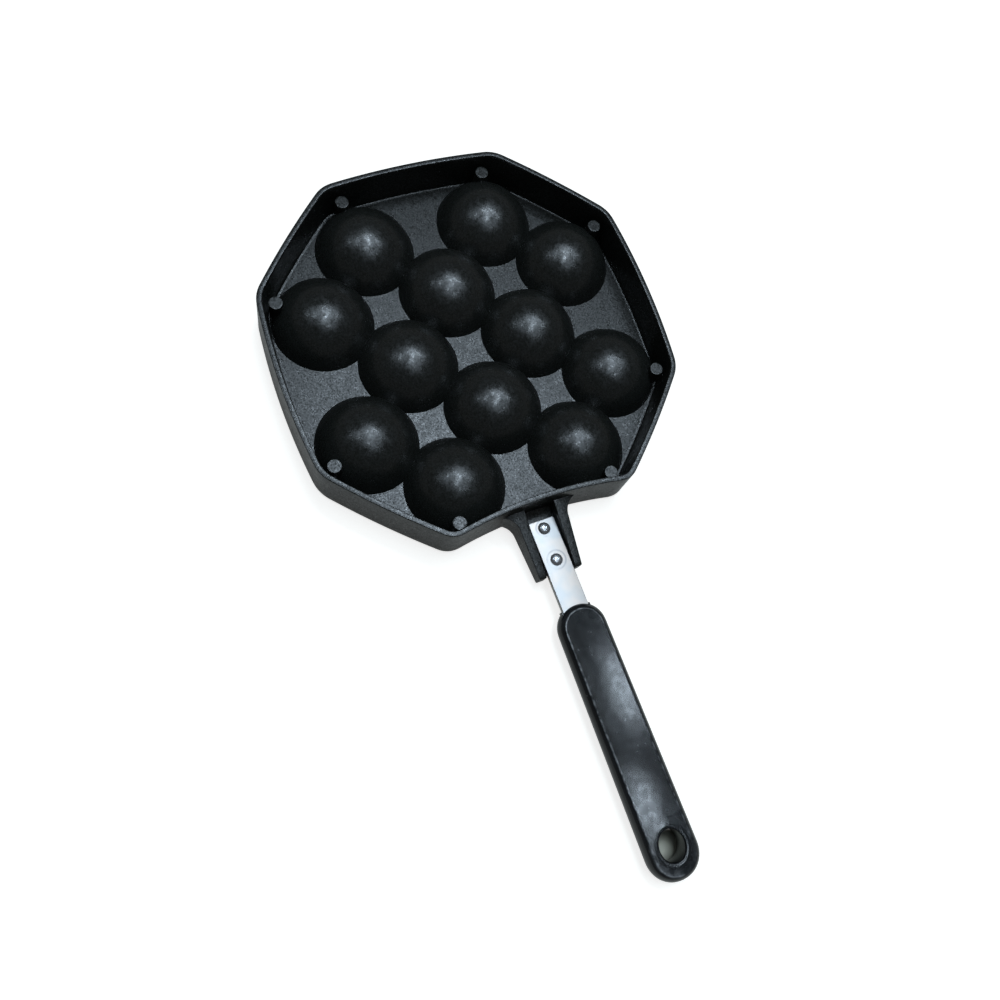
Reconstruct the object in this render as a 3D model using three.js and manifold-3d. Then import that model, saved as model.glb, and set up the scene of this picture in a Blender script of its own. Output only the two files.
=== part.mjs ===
// Takoyaki pan: a cast plate of twelve round cups in an octagonal skirt, a riveted strap and a moulded grip.
// Millimetres. It lies on its cooking side, as photographed: the cups open down, the skirt's rim is on top.
// +X runs out along the handle and +Z is up. The part's origin is under the middle of its box, on the table.
// Casting and handle are drawn about the middle of the cups, and their groups carry them to that origin.
import * as THREE from "three";
import { mergeVertices } from "three/addons/utils/BufferGeometryUtils.js";
import Module from "manifold-3d";

const wasm = await Module();
wasm.setup();

// Driving dimensions, cups
const CUP_SPACING = 43; // cup centre to cup centre, on a lattice turned 45 degrees to the handle
const DOME_RADIUS = 24.3; // sphere of the cup's outside
const DOME_HEIGHT = 17; // dome's top above the plate's underside
const CUP_RADIUS = 20.6; // sphere of the cup's inside
const CUP_CROWN = 3.4; // metal at the top of the dome

// Driving dimensions, plate and skirt
const PLATE_THICKNESS = 4;
const LIP_HEIGHT = 2; // lip that stands proud of the cooking face, all round
const SKIRT_HEIGHT = 18.3; // plate's underside to the rim
const RIM_WALL = 2.4;
const ROOT_WALL = 3.3;
const SKIRT_FLARE = 1.3; // how much wider the skirt's outside is at the lip than at the rim
const END_MARGIN = 3; // dome's foot to the octagon's end sides
const FLANK_MARGIN = 2.5; // dome's foot to the octagon's flank sides
const DIAGONAL_MARGIN = 3.85; // dome's foot to the octagon's short diagonal sides
const CORNER_ROUND = 5; // length of side that each corner's rounding takes
const BULGE_HANDLE = -4.4; // the handle's side is drawn in
const BULGE_FAR = 2.3;
const BULGE_FLANK = 2.8;
const BULGE_DIAGONAL = 1.1;
const RIM_EDGE = 0.5; // break on the rim's edges
const LIP_EDGE = 1.2; // break on the outside of the lip

// Driving dimensions, posts
const POST_DIAMETER = 6.4;
const POST_HEIGHT = 13; // above the plate's underside
const POST_REACH = 20.2; // cup's axis to the post's axis
const HANDLE_POST_ANGLE = 19; // degrees from the handle's line, on the two cups at the handle
const FAR_POST_ANGLE = 13; // the same, on the two cups at the far end
const FLANK_POST_ANGLE = 63.3; // the same, on the cups at both flanks

// Driving dimensions, strap, rivets and lug
const STRAP_WIDTH = 12.4;
const STRAP_THICKNESS = 3;
const STRAP_TOP = 4.2; // strap's top above the plate's underside
const STRAP_START = 6.1; // drawn-in skirt to the strap's near end, at the rim
const STRAP_CORNER = 1; // rounding of its near corners
const RIVET_HEAD = 6; // head's diameter
const RIVET_HEAD_HEIGHT = 1.5;
const RIVET_SHANK = 3.6;
const RIVET_TAIL_HEIGHT = 1.2;
const RIVET_INSET = 4.2; // strap's near end to the first rivet
const RIVET_SPACING = 15.1;
const RIB_LENGTH = 25.4; // strap's near end to the ribs' tips
const RIB_GAP = 0.9; // strap's edge to each rib
const RIB_ROOT_WIDTH = 4.7;
const RIB_TIP_WIDTH = 3.4;
const RIB_RISE = 4.6; // rib's top above the strap's, beside the strap's near end
const RIB_TIP_RISE = -0.4; // the same at the rib's tip
const RIB_FLARE = 8; // radius of the ribs' outer roots against the skirt
const RIB_TIP_ROUND = 1.4;
const LUG_SINK = 1.3; // how deep the lug is rooted in the skirt's wall

// Driving dimensions, grip
const NECK_LENGTH = 40.6; // strap's near end to the grip's front
const GRIP_LENGTH = 123.8;
const GRIP_FRONT_WIDTH = 22.9;
const GRIP_END_WIDTH = 24.3;
const GRIP_TOP = 2.1; // face's height above the strap's top
const GRIP_FRONT_DEPTH = 9.6;
const GRIP_END_DEPTH = 11.6;
const GRIP_SQUARENESS = 2.1; // 2 is a round end, more is squarer
const FACE_INSET = 2.8; // grip's outline to the outline of its face
const TANG_LENGTH = 62; // strap's length inside the grip
const KEY_DIAMETER = 4.4; // moulded pin through the tang
const KEY_TO_TANG_END = 12;
const COLLAR_WIDTH = 15; // the grip's mouth: a cheek at each edge of the strap and a sill under it
const COLLAR_SET_BACK = 0.7; // grip's front to the collar's
const COLLAR_WALL = 1;
const HANG_HOLE_LENGTH = 14.6;
const HANG_HOLE_WIDTH = 12.2;
const HANG_HOLE_TO_END = 14.8; // hole's centre to the grip's end
const CLEARANCE = 0.3; // between pieces that pass through or into each other

// Fineness
const DOME_SEGMENTS = 28;
const DOME_RINGS = 7;
const ROUND_SEGMENTS = 20; // posts, rivets and their holes
const GRIP_ROUND_STEPS = 14; // along each rounded end

// Worked-out places
const floorZ = LIP_HEIGHT + PLATE_THICKNESS; // the plate's underside
const cookingZ = LIP_HEIGHT;
const rimZ = floorZ + SKIRT_HEIGHT;
const footRadius = Math.sqrt(DOME_RADIUS ** 2 - (DOME_RADIUS - DOME_HEIGHT) ** 2);
const outerCup = new THREE.Vector2(2, 1).multiplyScalar(CUP_SPACING * Math.SQRT1_2);
const endX = outerCup.x + footRadius + END_MARGIN;
const flankY = outerCup.x + footRadius + FLANK_MARGIN;
const cutReach = 2 * flankY; // cutting blocks run this far, past the whole casting
const diagonalReach = (1.5 * CUP_SPACING + footRadius + DIAGONAL_MARGIN) * Math.SQRT2;
const strapTopZ = floorZ + STRAP_TOP;
const strapBottomZ = strapTopZ - STRAP_THICKNESS;
const lugWallX = endX + BULGE_HANDLE; // where the lug meets the skirt, at the rim
const strapStartX = lugWallX + STRAP_START;
const lugRootX = lugWallX - LUG_SINK;
const ribTipX = strapStartX + RIB_LENGTH;
const gripFrontX = strapStartX + NECK_LENGTH;
const gripEndX = gripFrontX + GRIP_LENGTH;
const gripTopZ = strapTopZ + GRIP_TOP;
const tangEndX = gripFrontX + TANG_LENGTH;
const keyX = tangEndX - KEY_TO_TANG_END;
const farX = -(endX + BULGE_FAR + SKIRT_FLARE);
const middleX = (farX + gripEndX) / 2; // middle of the whole part's length
const rivetXs = [strapStartX + RIVET_INSET, strapStartX + RIVET_INSET + RIVET_SPACING];

// Materials
const coating = { color: 0x35383b, roughness: 0.7, metalness: 0.25 };
const bright = { color: 0xdfe5ea, roughness: 0.25, metalness: 1 };
const phenolic = { color: 0x1b1e22, roughness: 0.3, metalness: 0 };

// Solids and booleans
function solidFrom(geometry) {
  const bare = geometry.clone();
  bare.deleteAttribute("normal");
  bare.deleteAttribute("uv");
  const merged = mergeVertices(bare, 1e-4);
  const index = [];
  for (let i = 0; i < merged.index.count; i += 3) {
    const [a, b, c] = [merged.index.getX(i), merged.index.getX(i + 1), merged.index.getX(i + 2)];
    if (a !== b && b !== c && c !== a) index.push(a, b, c);
  }
  return new wasm.Manifold(
    new wasm.Mesh({
      numProp: 3,
      vertProperties: merged.attributes.position.array,
      triVerts: new Uint32Array(index),
    }),
  );
}

function geometryFrom(solid) {
  const mesh = solid.getMesh();
  const geometry = new THREE.BufferGeometry();
  geometry.setAttribute("position", new THREE.BufferAttribute(mesh.vertProperties, 3));
  geometry.setIndex(new THREE.BufferAttribute(mesh.triVerts, 1));
  geometry.computeVertexNormals();
  return geometry;
}

function block(x0, x1, y0, y1, z0, z1) {
  const box = new THREE.BoxGeometry(x1 - x0, y1 - y0, z1 - z0);
  return solidFrom(box.translate((x0 + x1) / 2, (y0 + y1) / 2, (z0 + z1) / 2));
}

// A turned solid about an upright line, from profile points [radius, z] that start and end on that line
function turned(profile, x, y, segments) {
  const points = profile.map(([r, z]) => new THREE.Vector2(r, z));
  const lathe = new THREE.LatheGeometry(points, segments);
  return solidFrom(lathe.rotateX(Math.PI / 2).translate(x, y, 0));
}

// An upright rod on the handle's line
function rod(radius, x, z0, z1) {
  return turned([[0, z0], [radius, z0], [radius, z1], [0, z1]], x, 0, ROUND_SEGMENTS);
}

// A prism from z0 to z1 over a plan outline
function prism(points, z0, z1) {
  const shape = new THREE.Shape(points);
  const solid = new THREE.ExtrudeGeometry(shape, { depth: z1 - z0, bevelEnabled: false, curveSegments: 6 });
  return solidFrom(solid.translate(0, 0, z0));
}

// A skin over rings of [x, y, z] points, all of one count. Open stacks get flat caps, closed ones join up.
function skinned(rings, closed) {
  const count = rings[0].length;
  const position = rings.flat(2);
  const index = [];
  const last = closed ? rings.length : rings.length - 1;
  for (let r = 0; r < last; r++) {
    const low = r * count;
    const high = ((r + 1) % rings.length) * count;
    for (let i = 0; i < count; i++) {
      const j = (i + 1) % count;
      index.push(low + i, low + j, high + j, low + i, high + j, high + i);
    }
  }
  if (!closed) {
    const plan = rings[0].map(([x, y]) => new THREE.Vector2(x, y));
    const top = (rings.length - 1) * count;
    for (const [a, b, c] of THREE.ShapeUtils.triangulateShape(plan, [])) {
      index.push(a, c, b, top + a, top + b, top + c);
    }
  }
  const geometry = new THREE.BufferGeometry();
  geometry.setAttribute("position", new THREE.Float32BufferAttribute(position, 3));
  geometry.setIndex(index);
  return solidFrom(geometry);
}

// The octagon's outline, counterclockwise, grown outwards by offset
const CORNERS = [
  [endX, -(diagonalReach - endX)],
  [endX, diagonalReach - endX],
  [diagonalReach - flankY, flankY],
  [-(diagonalReach - flankY), flankY],
  [-endX, diagonalReach - endX],
  [-endX, -(diagonalReach - endX)],
  [-(diagonalReach - flankY), -flankY],
  [diagonalReach - flankY, -flankY],
].map(([x, y]) => new THREE.Vector2(x, y));
const BULGES = [BULGE_HANDLE, BULGE_FLANK, BULGE_FAR, BULGE_FLANK].flatMap((b) => [b, BULGE_DIAGONAL]);
const SIDE_POINTS = 7;
const CORNER_POINTS = 4;

function sidePoint(side, u) {
  const a = CORNERS[side];
  const b = CORNERS[(side + 1) % CORNERS.length];
  const along = b.clone().sub(a);
  const outward = new THREE.Vector2(along.y, -along.x).normalize();
  return a.clone().addScaledVector(along, u).addScaledVector(outward, BULGES[side] * 4 * u * (1 - u));
}

function octagonCurve() {
  const points = [];
  CORNERS.forEach((corner, side) => {
    const length = corner.distanceTo(CORNERS[(side + 1) % CORNERS.length]);
    const start = CORNER_ROUND / length;
    for (let i = 0; i < SIDE_POINTS; i++) {
      points.push(sidePoint(side, start + ((1 - 2 * start) * i) / (SIDE_POINTS - 1)));
    }
    const next = (side + 1) % CORNERS.length;
    const nextLength = CORNERS[next].distanceTo(CORNERS[(next + 1) % CORNERS.length]);
    const bend = new THREE.QuadraticBezierCurve(
      sidePoint(side, 1 - start),
      CORNERS[next],
      sidePoint(next, CORNER_ROUND / nextLength),
    );
    points.push(...bend.getPoints(CORNER_POINTS).slice(1, -1));
  });
  return points;
}

const octagonBase = octagonCurve();

function octagon(offset) {
  return octagonBase.map((point, i) => {
    const before = octagonBase.at(i - 1);
    const after = octagonBase[(i + 1) % octagonBase.length];
    const outward = new THREE.Vector2(after.y - before.y, before.x - after.x).normalize();
    return point.clone().addScaledVector(outward, offset);
  });
}

function octagonRing(offset, z) {
  return octagon(offset).map((p) => [p.x, p.y, z]);
}

// The space inside the skirt, from the cooking face up past the rim
const insideSkirt = skinned(
  [
    octagonRing(-ROOT_WALL, cookingZ),
    octagonRing(-ROOT_WALL, floorZ),
    octagonRing(-RIM_WALL, rimZ),
  ],
  false,
);
const insidePlate = insideSkirt.intersect(block(-cutReach, cutReach, -cutReach, cutReach, 0, floorZ));
// The same space, kept clear of the skirt's inner wall, for the domes that run up against it
const insideClear = skinned(
  [octagonRing(-ROOT_WALL - CLEARANCE, 0), octagonRing(-RIM_WALL - CLEARANCE, rimZ)],
  false,
);

// Lattice of cups: u and v count pitches from the middle along the two diagonals
const ROWS = [-1.5, -0.5, 0.5, 1.5];
const FAR = 3;
const hasCup = (u, v) => Math.max(Math.abs(u), Math.abs(v)) < 2 && Math.abs(u) + Math.abs(v) < 3;
const latticePoint = (u, v) => new THREE.Vector2(u + v, u - v).multiplyScalar(CUP_SPACING * Math.SQRT1_2);

// An upright prism over the lattice rectangle u0..u1 by v0..v1
function latticePrism([u0, u1], [v0, v1]) {
  const points = [latticePoint(u0, v0), latticePoint(u1, v0), latticePoint(u1, v1), latticePoint(u0, v1)];
  if (THREE.ShapeUtils.area(points) < 0) points.reverse();
  return prism(points, -cutReach, cutReach);
}

// A cup's tile of the plate fills its cell, and runs out to the skirt from the outer rows
const tileRange = (c) => [c < -1 ? -FAR : c - 0.5, c > 1 ? FAR : c + 0.5];
// A dome is cut only where it runs into a neighbour's dome
const domeRange = (c, neighbour) => [neighbour(c - 1) ? c - 0.5 : -FAR, neighbour(c + 1) ? c + 0.5 : FAR];

// A cap of a sphere above lowZ, as a profile to turn
function capProfile(radius, topZ, lowZ) {
  const centreZ = topZ - radius;
  const steepest = Math.acos((lowZ - centreZ) / radius);
  const arc = [];
  for (let i = 0; i < DOME_RINGS; i++) {
    const angle = steepest * (1 - i / DOME_RINGS);
    arc.push([radius * Math.sin(angle), centreZ + radius * Math.cos(angle)]);
  }
  return [[0, lowZ], ...arc, [0, topZ]];
}

const domeProfile = capProfile(DOME_RADIUS, floorZ + DOME_HEIGHT, floorZ);
const hollowProfile = capProfile(CUP_RADIUS, floorZ + DOME_HEIGHT - CUP_CROWN, cookingZ);
const postProfile = [
  [0, floorZ],
  [POST_DIAMETER / 2, floorZ],
  [POST_DIAMETER / 2, floorZ + POST_HEIGHT],
  [0, floorZ + POST_HEIGHT],
];

// The cups at both ends and both flanks carry a post each, on the side away from the middle
function postPlace(cup) {
  const endAngle = cup.x > 0 ? HANDLE_POST_ANGLE : FAR_POST_ANGLE;
  const angle = THREE.MathUtils.degToRad(Math.abs(cup.x) > Math.abs(cup.y) ? endAngle : FLANK_POST_ANGLE);
  return new THREE.Vector2(
    cup.x + Math.sign(cup.x) * POST_REACH * Math.cos(angle),
    cup.y + Math.sign(cup.y) * POST_REACH * Math.sin(angle),
  );
}

// One cup: its tile of the plate, its dome, its post if it has one, and the hollow that opens downwards
function cupSolid(u, v) {
  const cup = latticePoint(u, v);
  const tile = insidePlate.intersect(latticePrism(tileRange(u), tileRange(v)));
  const reach = latticePrism(domeRange(u, (c) => hasCup(c, v)), domeRange(v, (c) => hasCup(u, c)));
  let raised = turned(domeProfile, cup.x, cup.y, DOME_SEGMENTS).intersect(reach);
  const outer = Math.abs(u) > 1 || Math.abs(v) > 1;
  if (outer) {
    const post = postPlace(cup);
    raised = raised.add(turned(postProfile, post.x, post.y, ROUND_SEGMENTS));
  }
  const hollow = turned(hollowProfile, cup.x, cup.y, DOME_SEGMENTS);
  return raised.intersect(insideClear).add(tile).subtract(hollow);
}

// The plate's open corner beyond the lattice on the sides that the two signs give
function cornerSolid(signU, signV) {
  const range = (sign) => (sign > 0 ? [1, FAR] : [-FAR, -1]);
  return insidePlate.intersect(latticePrism(range(signU), range(signV)));
}

// The skirt: one closed wall with its edges broken
function skirtSolid() {
  const rings = [
    octagonRing(SKIRT_FLARE - LIP_EDGE, 0),
    octagonRing(SKIRT_FLARE, LIP_EDGE),
    octagonRing(0, rimZ - RIM_EDGE),
    octagonRing(-RIM_EDGE, rimZ),
    octagonRing(RIM_EDGE - RIM_WALL, rimZ),
    octagonRing(-RIM_WALL, rimZ - RIM_EDGE),
    octagonRing(-ROOT_WALL, floorZ),
    octagonRing(-ROOT_WALL, 0),
  ];
  return skinned(rings, true);
}

// Plan of one rib from the skirt to its tip, on the side that sign gives
function ribPlan(sign) {
  const inner = STRAP_WIDTH / 2 + RIB_GAP;
  const root = inner + RIB_ROOT_WIDTH;
  const tip = inner + RIB_TIP_WIDTH;
  const plan = new THREE.Shape();
  plan.moveTo(lugRootX, inner);
  plan.lineTo(ribTipX, inner);
  plan.lineTo(ribTipX, tip - RIB_TIP_ROUND);
  plan.quadraticCurveTo(ribTipX, tip, ribTipX - RIB_TIP_ROUND, tip);
  plan.lineTo(lugRootX + RIB_FLARE + LUG_SINK, root);
  plan.quadraticCurveTo(lugRootX + LUG_SINK, root, lugRootX + LUG_SINK, root + RIB_FLARE);
  plan.lineTo(lugRootX, root + RIB_FLARE);
  const points = plan.getPoints(5).map((p) => new THREE.Vector2(p.x, sign * p.y));
  return sign > 0 ? points : points.reverse();
}

// The lug: a flat web under the strap between two ribs whose tops fall away towards their tips
function lugSolid() {
  const slope = (RIB_TIP_RISE - RIB_RISE) / RIB_LENGTH;
  const rootTop = strapTopZ + RIB_RISE - slope * (strapStartX - lugRootX);
  const side = new THREE.Shape([
    new THREE.Vector2(lugRootX, cookingZ),
    new THREE.Vector2(ribTipX, cookingZ),
    new THREE.Vector2(ribTipX, strapTopZ + RIB_TIP_RISE),
    new THREE.Vector2(lugRootX, rootTop),
  ]);
  const wide = cutReach;
  const slab = new THREE.ExtrudeGeometry(side, { depth: wide, bevelEnabled: false });
  const underRibTops = solidFrom(slab.rotateX(Math.PI / 2).translate(0, wide / 2, 0));
  const ribs = [1, -1].map((sign) => prism(ribPlan(sign), 0, rimZ).intersect(underRibTops));
  const half = STRAP_WIDTH / 2 + RIB_GAP + RIB_TIP_WIDTH / 2;
  let lug = block(lugRootX, ribTipX - RIB_TIP_ROUND, -half, half, cookingZ, strapBottomZ);
  for (const rib of ribs) lug = lug.add(rib);
  for (const x of rivetXs) {
    lug = lug.subtract(rod(RIVET_SHANK / 2 + CLEARANCE, x, 0, rimZ));
  }
  return lug;
}

// The strap: a flat bar with two rivet holes, and a keying hole in the length that the grip covers
function strapSolid() {
  const half = STRAP_WIDTH / 2;
  const plan = new THREE.Shape();
  plan.moveTo(strapStartX + STRAP_CORNER, -half);
  plan.lineTo(tangEndX, -half);
  plan.lineTo(tangEndX, half);
  plan.lineTo(strapStartX + STRAP_CORNER, half);
  plan.quadraticCurveTo(strapStartX, half, strapStartX, half - STRAP_CORNER);
  plan.lineTo(strapStartX, STRAP_CORNER - half);
  plan.quadraticCurveTo(strapStartX, -half, strapStartX + STRAP_CORNER, -half);
  const hole = (x, diameter) => new THREE.Path().absarc(x, 0, diameter / 2 + CLEARANCE, 0, 2 * Math.PI, true);
  plan.holes = rivetXs.map((x) => hole(x, RIVET_SHANK));
  plan.holes.push(hole(keyX, KEY_DIAMETER));
  const settings = { depth: STRAP_THICKNESS, bevelEnabled: false, curveSegments: 10 };
  return solidFrom(new THREE.ExtrudeGeometry(plan, settings).translate(0, 0, strapBottomZ));
}

// A rivet: a domed head on the strap, a shank through strap and web, and a flat tail under the web
function rivetSolid(x) {
  const head = RIVET_HEAD / 2;
  const dome = [90, 67, 45, 22].map((degrees) => {
    const angle = THREE.MathUtils.degToRad(degrees);
    return [head * Math.sin(angle), strapTopZ + RIVET_HEAD_HEIGHT * Math.cos(angle)];
  });
  const profile = [
    [0, cookingZ - RIVET_TAIL_HEIGHT],
    [head, cookingZ - RIVET_TAIL_HEIGHT],
    [head, cookingZ],
    [RIVET_SHANK / 2, cookingZ],
    [RIVET_SHANK / 2, strapTopZ],
    ...dome,
    [0, strapTopZ + RIVET_HEAD_HEIGHT],
  ];
  return turned(profile, x, 0, ROUND_SEGMENTS);
}

// One level of the grip: its plan drawn in by inset, at a share of the depth up from the underside
function gripRing(inset, share) {
  const radius = (front) => (front ? GRIP_FRONT_WIDTH : GRIP_END_WIDTH) / 2;
  const round = (cosine) => Math.sign(cosine) * Math.abs(cosine) ** (2 / GRIP_SQUARENESS);
  const ring = [];
  for (const front of [false, true]) {
    const centreX = front ? gripFrontX + radius(true) : gripEndX - radius(false);
    const size = radius(front) - inset;
    for (let i = 0; i <= GRIP_ROUND_STEPS; i++) {
      const angle = -Math.PI / 2 + (Math.PI * i) / GRIP_ROUND_STEPS;
      const turn = front ? -1 : 1;
      const x = centreX + turn * size * round(Math.cos(angle));
      const depth = THREE.MathUtils.mapLinear(x, gripFrontX, gripEndX, GRIP_FRONT_DEPTH, GRIP_END_DEPTH);
      ring.push([x, turn * size * round(Math.sin(angle)), gripTopZ - depth * (1 - share)]);
    }
  }
  return ring;
}

// The grip: a bar with rounded ends and sides, a slot for the tang, a pin through it and a hang hole
function gripSolid() {
  const levels = [
    [4.4, 0],
    [2.5, 0.06],
    [1.1, 0.18],
    [0.3, 0.36],
    [0, 0.55],
    [0.3, 0.73],
    [1.2, 0.89],
    [FACE_INSET, 1],
  ];
  let grip = skinned(levels.map(([inset, share]) => gripRing(inset, share)), false);
  const mouth = COLLAR_WIDTH / 2;
  const low = strapBottomZ - COLLAR_WALL;
  grip = grip.add(block(gripFrontX + COLLAR_SET_BACK, gripFrontX + mouth, -mouth, mouth, low, strapTopZ));
  const slot = STRAP_WIDTH / 2 + CLEARANCE;
  const slotLow = strapBottomZ - CLEARANCE;
  const slotHigh = strapTopZ + CLEARANCE;
  grip = grip.subtract(block(strapStartX, tangEndX + CLEARANCE, -slot, slot, slotLow, slotHigh));
  grip = grip.add(rod(KEY_DIAMETER / 2, keyX, slotLow - COLLAR_WALL, slotHigh + COLLAR_WALL));
  const hole = new THREE.Shape();
  const holeX = gripEndX - HANG_HOLE_TO_END;
  hole.absellipse(holeX, 0, HANG_HOLE_LENGTH / 2, HANG_HOLE_WIDTH / 2, 0, 2 * Math.PI);
  const holePoints = hole.getPoints(DOME_SEGMENTS).slice(0, -1);
  return grip.subtract(prism(holePoints, -cutReach, cutReach));
}

// The part's tree: the casting's features in one group, the handle's pieces in another
const part = new THREE.Group();
const casting = new THREE.Group();
const handle = new THREE.Group();
part.add(casting, handle);
casting.position.x = -middleX;
handle.position.x = -middleX;

function place(group, name, solid, look) {
  const mesh = new THREE.Mesh(geometryFrom(solid), new THREE.MeshStandardMaterial(look));
  mesh.name = name;
  group.add(mesh);
}

place(casting, "skirt_and_lug", skirtSolid().add(lugSolid()), coating);
let cupCount = 0;
for (const u of ROWS) {
  for (const v of ROWS) {
    if (!hasCup(u, v)) continue;
    cupCount += 1;
    place(casting, `cup_${String(cupCount).padStart(2, "0")}`, cupSolid(u, v), coating);
  }
}
place(casting, "plate_corner_handle", cornerSolid(1, 1), coating);
place(casting, "plate_corner_far", cornerSolid(-1, -1), coating);
place(casting, "plate_corner_left", cornerSolid(1, -1), coating);
place(casting, "plate_corner_right", cornerSolid(-1, 1), coating);
place(handle, "strap", strapSolid(), bright);
rivetXs.forEach((x, i) => place(handle, `rivet_${i + 1}`, rivetSolid(x), bright));
place(handle, "grip", gripSolid(), phenolic);

export default part;
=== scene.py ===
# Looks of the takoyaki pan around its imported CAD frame.
# It lies on its cooking side with the cups' domes up, as in the photograph, and +X runs out along the handle.
# Shapes and grains are sized in millimetres, and places along the handle count from the middle of the cups.
# What a material, camera or lamp reads is in metres of the frame.
import math

import bmesh
import bpy
import numpy as np
from mathutils import Matrix, Vector
from mathutils.geometry import delaunay_2d_cdt
from mathutils.kdtree import KDTree


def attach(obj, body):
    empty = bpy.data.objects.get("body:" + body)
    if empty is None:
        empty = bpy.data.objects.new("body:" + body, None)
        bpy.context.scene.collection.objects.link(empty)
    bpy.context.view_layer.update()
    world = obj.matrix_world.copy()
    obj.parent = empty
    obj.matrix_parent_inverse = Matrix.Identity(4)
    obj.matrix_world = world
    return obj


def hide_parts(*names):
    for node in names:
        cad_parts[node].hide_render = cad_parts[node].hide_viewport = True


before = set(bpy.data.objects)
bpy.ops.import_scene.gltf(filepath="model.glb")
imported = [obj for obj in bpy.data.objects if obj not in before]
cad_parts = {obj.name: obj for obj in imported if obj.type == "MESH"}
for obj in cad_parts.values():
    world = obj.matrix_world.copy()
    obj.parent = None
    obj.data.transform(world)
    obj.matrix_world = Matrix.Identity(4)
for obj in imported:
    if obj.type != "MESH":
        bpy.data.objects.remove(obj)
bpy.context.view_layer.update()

# The casting: aluminium alloy poured in one piece, twelve round cups in a plate inside an octagonal skirt.
# It was then sprayed all over with a thin black non-stick coating. Its corners are filleted, as cast.
CUP_SPACING = 43.0
ROWS = (-1.5, -0.5, 0.5, 1.5)  # rows of the cups' lattice, in cup spacings
DOME_RADIUS = 24.3
DOME_HEIGHT = 17.0
CUP_RADIUS = 20.6
CUP_CROWN = 3.4  # metal at a dome's top
COOKING_Z = 2.0
FLOOR_Z = 6.0  # the plate's underside, which faces up here
RIM_Z = 24.3
RIM_WALL = 2.4
ROOT_WALL = 3.3
SKIRT_FLARE = 1.3  # how much wider the skirt's outside is at the lip than at the rim
END_MARGIN = 3.0  # dome's foot to the octagon's sides
FLANK_MARGIN = 2.5
DIAGONAL_MARGIN = 3.85
BULGES = (-4.4, 1.1, 2.8, 1.1, 2.3, 1.1, 2.8, 1.1)  # of the eight sides, from the handle's counterclockwise
BULGE_FAR = BULGES[4]
CORNER_ROUND = 5.0
POST_RADIUS = 3.2
POST_DRAFT = 0.2
POST_REACH = 20.2  # cup's axis to the post's
POST_ANGLES = {"flank": 63.3, "handle": 19.0, "far": 13.0}  # degrees from the handle's line
POST_HEIGHT = 13.0
RIM_EDGE = 0.35
LIP_EDGE = 1.2
LIP_INNER_EDGE = 0.5
FILLETS = {"dome": 0.04, "post": 0.4, "wall": 0.7, "post_top": 0.35, "cup_mouth": 1.2, "lip": 1.0}

half_diagonal = CUP_SPACING * math.sqrt(0.5)
dome_z = FLOOR_Z + DOME_HEIGHT - DOME_RADIUS
cup_z = FLOOR_Z + DOME_HEIGHT - CUP_CROWN - CUP_RADIUS
foot_radius = math.sqrt(DOME_RADIUS**2 - (FLOOR_Z - dome_z) ** 2)
mouth_radius = math.sqrt(CUP_RADIUS**2 - (COOKING_Z - cup_z) ** 2)
end_x = 2 * half_diagonal + foot_radius + END_MARGIN
flank_y = 2 * half_diagonal + foot_radius + FLANK_MARGIN
diagonal_reach = (1.5 * CUP_SPACING + foot_radius + DIAGONAL_MARGIN) * math.sqrt(2)
STRAP_START = end_x + 1.7
GRIP_END = STRAP_START + 164.4
MIDDLE_X = (GRIP_END - end_x - BULGE_FAR - SKIRT_FLARE) / 2  # the frame's origin, from the middle of the cups

cups = np.array([((u + v) * half_diagonal, (u - v) * half_diagonal)
                 for u in ROWS for v in ROWS if abs(u) + abs(v) < 3])
posts = []
for x, y in cups:
    if math.hypot(x, y) > 1.5 * CUP_SPACING:
        angle = math.radians(POST_ANGLES["flank" if abs(y) > abs(x) else "handle" if x > 0 else "far"])
        posts.append((x + math.copysign(POST_REACH * math.cos(angle), x),
                      y + math.copysign(POST_REACH * math.sin(angle), y)))
posts = np.array(posts)


def outline(offset, side_steps=40, corner_steps=12):
    """Points round the skirt, counterclockwise, grown outwards from the rim's outer edge by offset."""
    low, across = diagonal_reach - end_x, diagonal_reach - flank_y
    corners = [(end_x, -low), (end_x, low), (across, flank_y), (-across, flank_y),
               (-end_x, low), (-end_x, -low), (-across, -flank_y), (across, -flank_y)]
    corners = [np.array(c) for c in corners]

    def side_point(side, u):
        a, b = corners[side], corners[(side + 1) % 8]
        outward = np.array([b[1] - a[1], a[0] - b[0]]) / np.linalg.norm(b - a)
        return a + (b - a) * u + outward * BULGES[side] * 4 * u * (1 - u)

    points = []
    for side in range(8):
        following = (side + 1) % 8
        start = CORNER_ROUND / np.linalg.norm(corners[following] - corners[side])
        next_start = CORNER_ROUND / np.linalg.norm(corners[(side + 2) % 8] - corners[following])
        points += [side_point(side, start + (1 - 2 * start) * i / side_steps) for i in range(side_steps + 1)]
        p, q, r = side_point(side, 1 - start), corners[following], side_point(following, next_start)
        for i in range(1, corner_steps):
            t = i / corner_steps
            points.append(p * (1 - t) ** 2 + q * 2 * t * (1 - t) + r * t * t)
    points = np.array(points)
    along = np.roll(points, -1, 0) - np.roll(points, 1, 0)
    outward = np.stack([along[:, 1], -along[:, 0]], 1) / np.linalg.norm(along, axis=1)[:, None]
    return points + outward * offset


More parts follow.
